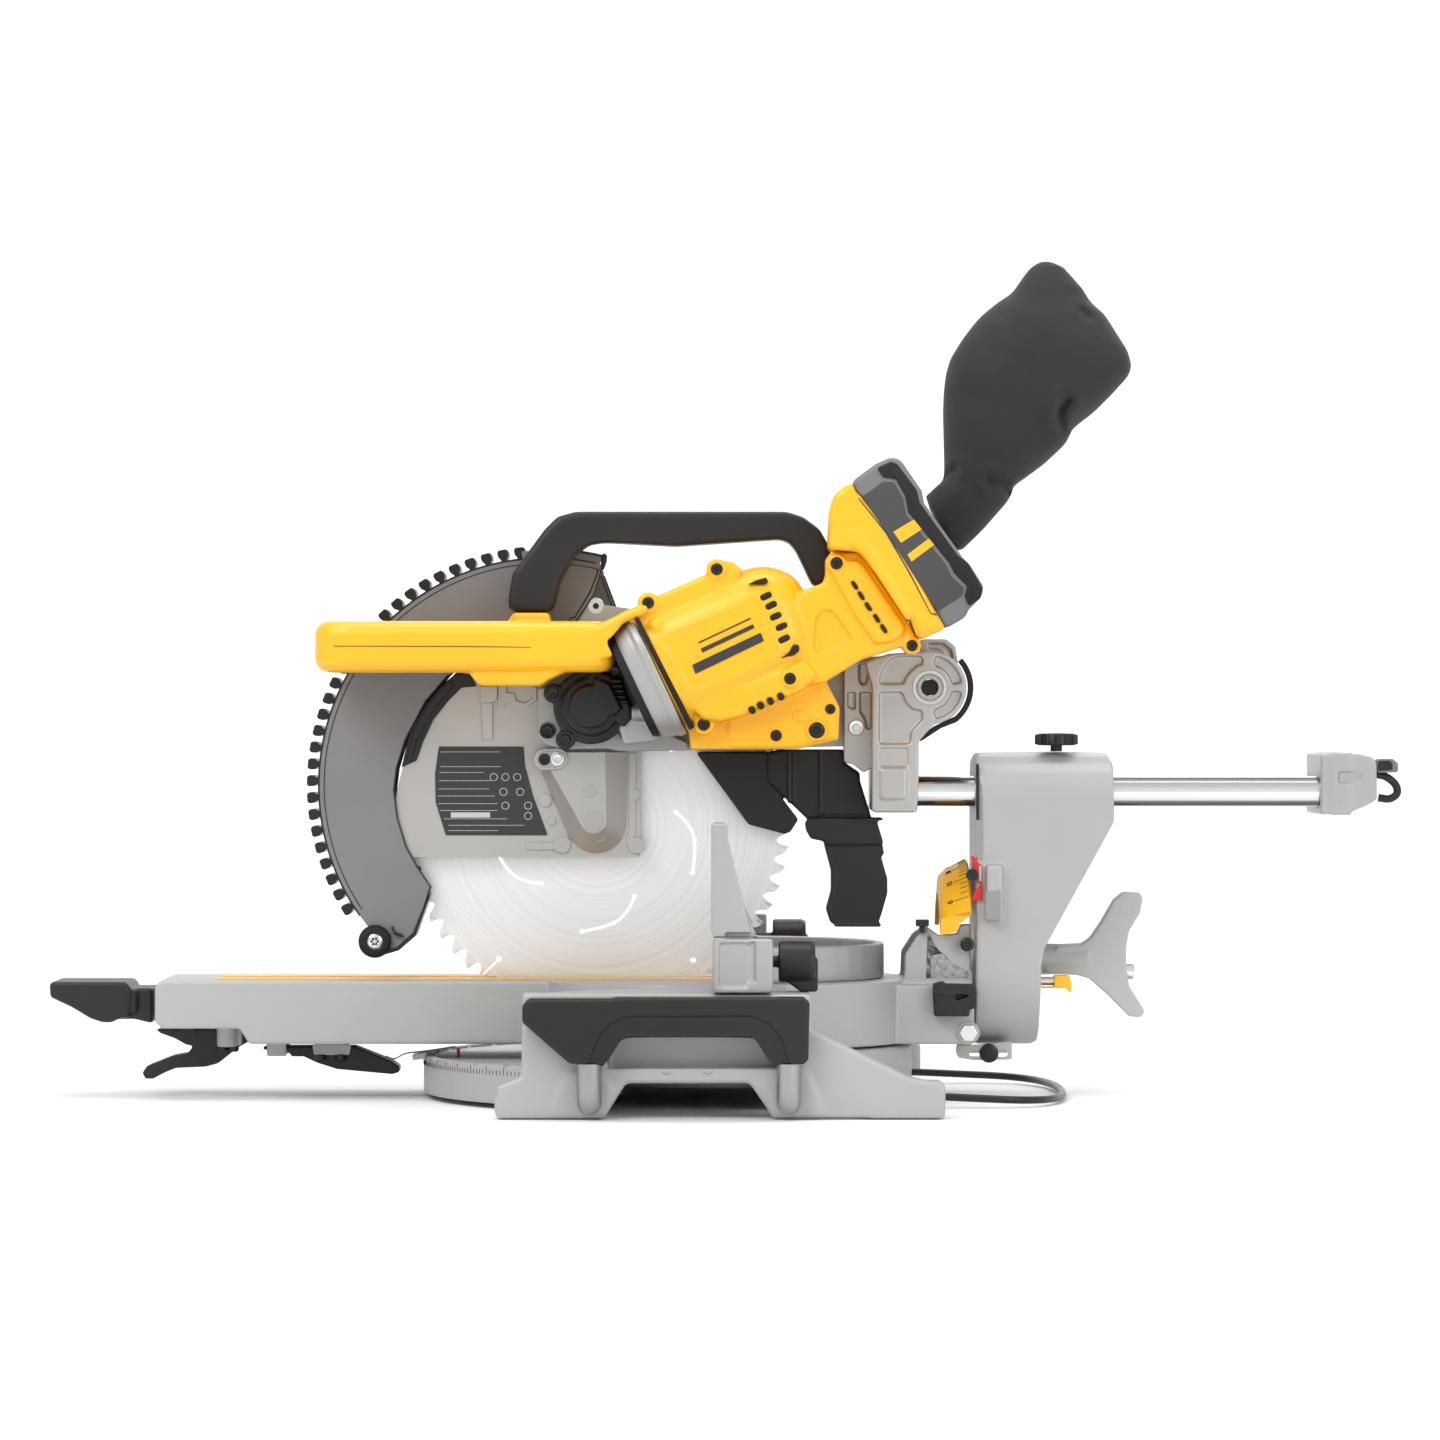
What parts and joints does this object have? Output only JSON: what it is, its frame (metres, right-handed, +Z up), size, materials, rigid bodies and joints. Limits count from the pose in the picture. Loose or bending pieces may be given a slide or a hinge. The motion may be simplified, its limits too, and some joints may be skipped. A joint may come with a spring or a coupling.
{
  "type": "sliding miter saw",
  "caption": "Cordless sliding compound miter saw with turntable, bevel column, chrome slide rails, chop head, moving blade shield, battery and cloth dust bag.",
  "frame": {"origin": "centre of the bounding box on the floor under the feet", "axes": "+X from the operator's miter handle towards the rail ends, +Y across the table away from the motor side, +Z up"},
  "size_m": [1.0638, 0.604, 0.664],
  "materials": {
    "yellow_plastic": "yellow plastic, satin",
    "black_plastic": "black plastic",
    "light_casting": "light grey cast and painted",
    "warm_plate": "warm grey metal",
    "bright_steel": "bright steel",
    "chrome_rail": "polished rail",
    "battery_grey": "grey plastic",
    "shield_grey": "dark tinted plastic",
    "black_rubber": "black rubber",
    "bag_cloth": "black woven cloth",
    "red_pointer": "red plastic",
    "dark_label": "dark blank label",
    "dark_rod": "black coated wire"
  },
  "bodies": {
    "base": {"base_casting": "light_casting", "fixed_fence": "light_casting", "miter_scale": "bright_steel", "wire_stand": "dark_rod", "carry_handle_near": "black_plastic", "carry_handle_far": "black_plastic", "handle_post_front_near": "bright_steel", "handle_post_front_far": "bright_steel", "handle_post_rear_near": "bright_steel", "handle_post_rear_far": "bright_steel"},
    "upper_fence_near_body": {"upper_fence_near": "warm_plate"},
    "upper_fence_far_body": {"upper_fence_far": "warm_plate"},
    "fence_knob_near_body": {"fence_knob_near": "black_plastic"},
    "fence_knob_far_body": {"fence_knob_far": "black_plastic"},
    "turntable_body": {"turntable": "light_casting", "kerf_plate_near": "yellow_plastic", "kerf_plate_far": "yellow_plastic", "miter_handle": "black_plastic", "miter_pointer": "red_pointer", "cord_clip": "black_plastic", "bevel_scale": "yellow_plastic", "stop_plate": "warm_plate"},
    "miter_lock_body": {"miter_lock_lever": "black_plastic"},
    "detent_body": {"detent_lever": "black_plastic"},
    "column_body": {"column": "light_casting", "bevel_pointer": "red_pointer"},
    "bevel_handle_body": {"bevel_handle": "light_casting"},
    "bevel_pin_body": {"bevel_pin": "yellow_plastic"},
    "slide_knob_body": {"slide_knob": "black_plastic"},
    "carriage_body": {"head_support": "warm_plate", "pivot_pin": "bright_steel", "rail_near": "chrome_rail", "rail_far": "chrome_rail", "rear_bracket": "warm_plate", "cord_clamp": "black_plastic", "bumper": "black_rubber"},
    "head_body": {"head_arm": "warm_plate", "upper_guard": "warm_plate", "guard_trim": "black_plastic", "rating_plate": "dark_label", "gearcase": "warm_plate", "gear_cover": "black_plastic", "motor_housing": "yellow_plastic", "d_handle": "yellow_plastic", "top_handle": "black_plastic", "dust_chute": "black_plastic", "dust_duct": "black_plastic"},
    "blade_body": {"blade": "bright_steel", "arbor": "bright_steel"},
    "shield_body": {"lower_shield": "shield_grey"},
    "roller_body": {"shield_roller": "black_rubber"},
    "trigger_body": {"trigger": "black_plastic"},
    "battery_body": {"battery": "battery_grey"},
    "bag_body": {"dust_bag": "bag_cloth"}
  },
  "joints": [
    {"name": "miter_swing", "type": "hinge", "parent": "base", "child": "turntable_body", "pos_m": [-0.00208, 0, 0.0928], "axis": [0, 0, -1], "range_deg": [-45, 45]},
    {"name": "bevel_tilt", "type": "hinge", "parent": "turntable_body", "child": "column_body", "pos_m": [0.19512, 0, 0.0928], "axis": [-1, 0, 0], "range_deg": [0, 45]},
    {"name": "rail_slide", "type": "slide", "parent": "column_body", "child": "carriage_body", "axis": [1, 0, 0], "range_m": [-0.16, 0.03]},
    {"name": "chop", "type": "hinge", "parent": "carriage_body", "child": "head_body", "pos_m": [0.16002, 0, 0.3219], "axis": [0, 1, 0], "range_deg": [0, 40]},
    {"name": "blade_spin", "type": "hinge", "parent": "head_body", "child": "blade_body", "pos_m": [-0.10158, 0, 0.2125], "axis": [0, 1, 0], "continuous": true},
    {"name": "shield_swing", "type": "hinge", "parent": "head_body", "child": "shield_body", "pos_m": [-0.10158, 0, 0.2125], "axis": [0, 1, 0], "range_deg": [-92, 0]},
    {"name": "roller_spin", "type": "hinge", "parent": "shield_body", "child": "roller_body", "pos_m": [-0.27608, 0, 0.122], "axis": [0, 1, 0], "continuous": true},
    {"name": "trigger_pull", "type": "slide", "parent": "head_body", "child": "trigger_body", "axis": [-1, 0, 0], "range_m": [0, 0.005], "stiffness_N_per_m": 600, "springref_m": -0.002},
    {"name": "battery_release", "type": "slide", "parent": "head_body", "child": "battery_body", "axis": [-0.7234, 0, 0.6904], "range_m": [0, 0.05]},
    {"name": "bag_lift_off", "type": "slide", "parent": "head_body", "child": "bag_body", "axis": [0.45, 0, 0.893], "range_m": [0, 0.05]},
    {"name": "fence_slide_near", "type": "slide", "parent": "base", "child": "upper_fence_near_body", "axis": [0, -1, 0], "range_m": [0, 0.06]},
    {"name": "fence_slide_far", "type": "slide", "parent": "base", "child": "upper_fence_far_body", "axis": [0, 1, 0], "range_m": [0, 0.06]},
    {"name": "fence_knob_turn_near", "type": "hinge", "parent": "base", "child": "fence_knob_near_body", "pos_m": [0.03792, -0.236, 0.115], "axis": [1, 0, 0], "range_deg": [0, 180]},
    {"name": "fence_knob_turn_far", "type": "hinge", "parent": "base", "child": "fence_knob_far_body", "pos_m": [0.03792, 0.236, 0.115], "axis": [1, 0, 0], "range_deg": [0, 180]},
    {"name": "miter_lock_lift", "type": "hinge", "parent": "turntable_body", "child": "miter_lock_body", "pos_m": [-0.39008, 0, 0.044], "axis": [0, 1, 0], "range_deg": [0, 15]},
    {"name": "detent_press", "type": "hinge", "parent": "turntable_body", "child": "detent_body", "pos_m": [-0.35408, 0, 0.037], "axis": [0, 1, 0], "range_deg": [0, 5]},
    {"name": "bevel_lock_turn", "type": "hinge", "parent": "column_body", "child": "bevel_handle_body", "pos_m": [0.24992, 0, 0.111], "axis": [1, 0, 0], "range_deg": [0, 60]},
    {"name": "bevel_pin_pull", "type": "slide", "parent": "column_body", "child": "bevel_pin_body", "axis": [1, 0, 0], "range_m": [0, 0.008]},
    {"name": "slide_lock_turn", "type": "hinge", "parent": "column_body", "child": "slide_knob_body", "pos_m": [0.26042, -0.036, 0.272], "axis": [0, 0, 1], "range_deg": [0, 180]}
  ],
  "couplings": [
    {"joint": "shield_swing", "follows": "chop", "ratio": -2.2}
  ]
}
